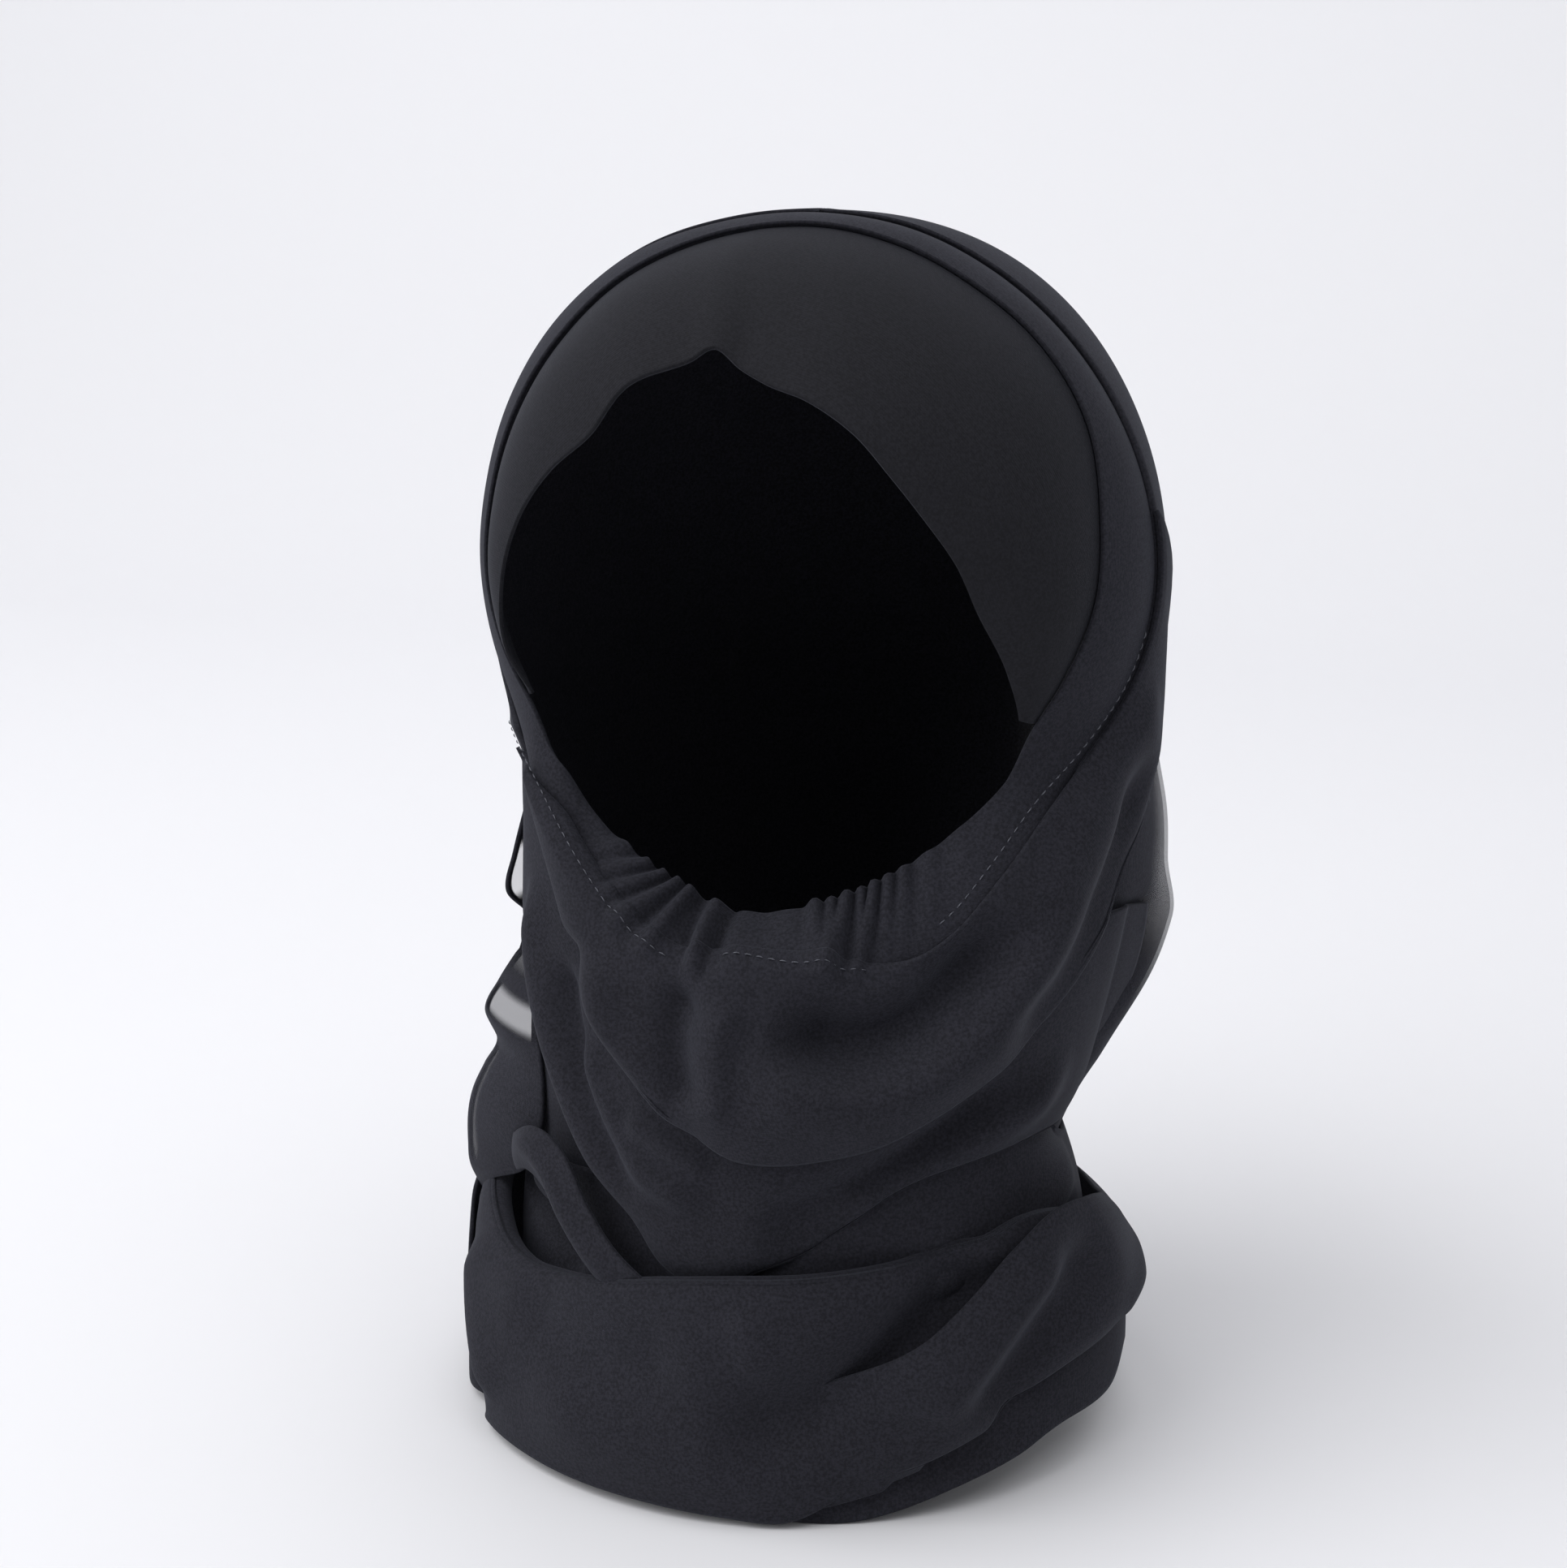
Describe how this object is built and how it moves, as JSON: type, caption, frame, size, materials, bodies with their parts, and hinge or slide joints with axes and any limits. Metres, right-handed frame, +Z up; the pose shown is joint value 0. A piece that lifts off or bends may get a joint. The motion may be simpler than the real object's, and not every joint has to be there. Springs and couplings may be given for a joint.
{
  "type": "instant hijab",
  "caption": "Ready-sewn black veil in its worn form: cap band round an open face, gathered chin, draped cowls and a wrapped lower edge, hollow where the head and neck go in.",
  "frame": {"origin": "inside of the crown, where the head touches the veil", "axes": "+Z up, the face opening looks along -Y, +X is the wearer's left"},
  "size_m": [0.2284, 0.22, 0.3812],
  "materials": {
    "forehead_band": "black stretch jersey, matt, fine knit grain",
    "face_casing": "black crepe, doubled and rounded",
    "hood": "black crepe, slightly sheer where it is one layer",
    "front_cowl": "black crepe, soft sheen on the roll",
    "second_cowl": "black crepe",
    "neck_wrap": "black crepe",
    "lower_wrap": "black crepe, doubled",
    "right_fold": "black crepe, doubled",
    "left_fold": "black crepe",
    "under_hem": "black crepe with a narrow hem",
    "side_tail": "black crepe, one sheer layer",
    "inner_fold": "black crepe"
  },
  "bodies": {
    "root": {"forehead_band": "forehead_band", "face_casing": "face_casing", "hood": "hood", "front_cowl": "front_cowl", "second_cowl": "second_cowl", "neck_wrap": "neck_wrap", "lower_wrap": "lower_wrap", "right_fold": "right_fold", "left_fold": "left_fold", "under_hem": "under_hem", "side_tail": "side_tail", "inner_fold": "inner_fold"}
  },
  "joints": []
}
